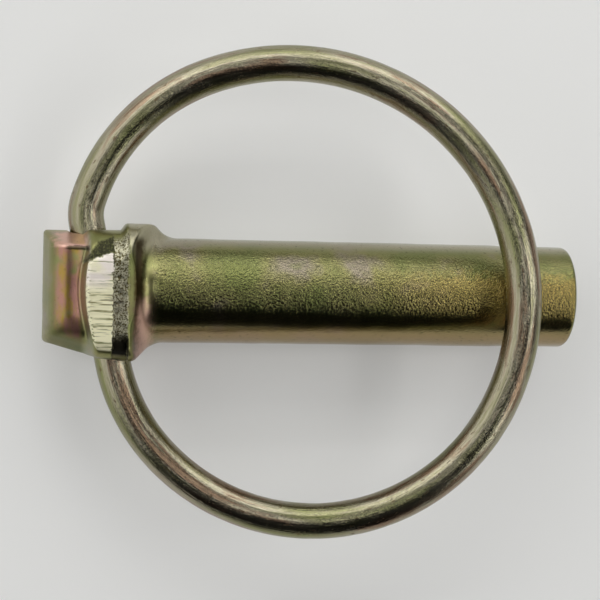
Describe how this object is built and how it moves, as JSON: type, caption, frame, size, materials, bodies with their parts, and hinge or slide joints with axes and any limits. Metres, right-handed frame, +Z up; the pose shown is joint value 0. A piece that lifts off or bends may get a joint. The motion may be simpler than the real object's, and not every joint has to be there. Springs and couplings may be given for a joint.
{
  "type": "lynch pin",
  "caption": "Lynch pin with a forged block head, a trimmed collar, a round shank and a spring ring that snaps over the shank, in yellow zinc plate.",
  "frame": {"origin": "on the shank's axis, where its round wall begins below the collar", "axes": "+X along the shank towards its tip, +Z up, towards the side of the shank on which the shut ring lies"},
  "size_m": [0.0564, 0.0516, 0.016],
  "materials": {
    "forged_zinc": "yellow zinc plate over a forged surface",
    "wire_zinc": "yellow zinc plate over drawn spring wire"
  },
  "bodies": {
    "pin": {"pin_body": "forged_zinc"},
    "ring": {"spring_ring": "wire_zinc"}
  },
  "joints": [
    {"name": "ring_swing", "type": "hinge", "parent": "pin", "child": "ring", "pos_m": [-0.00685, -0.00055, 0], "axis": [0.1989, -0.98, 0], "range_deg": [0, 170]}
  ]
}
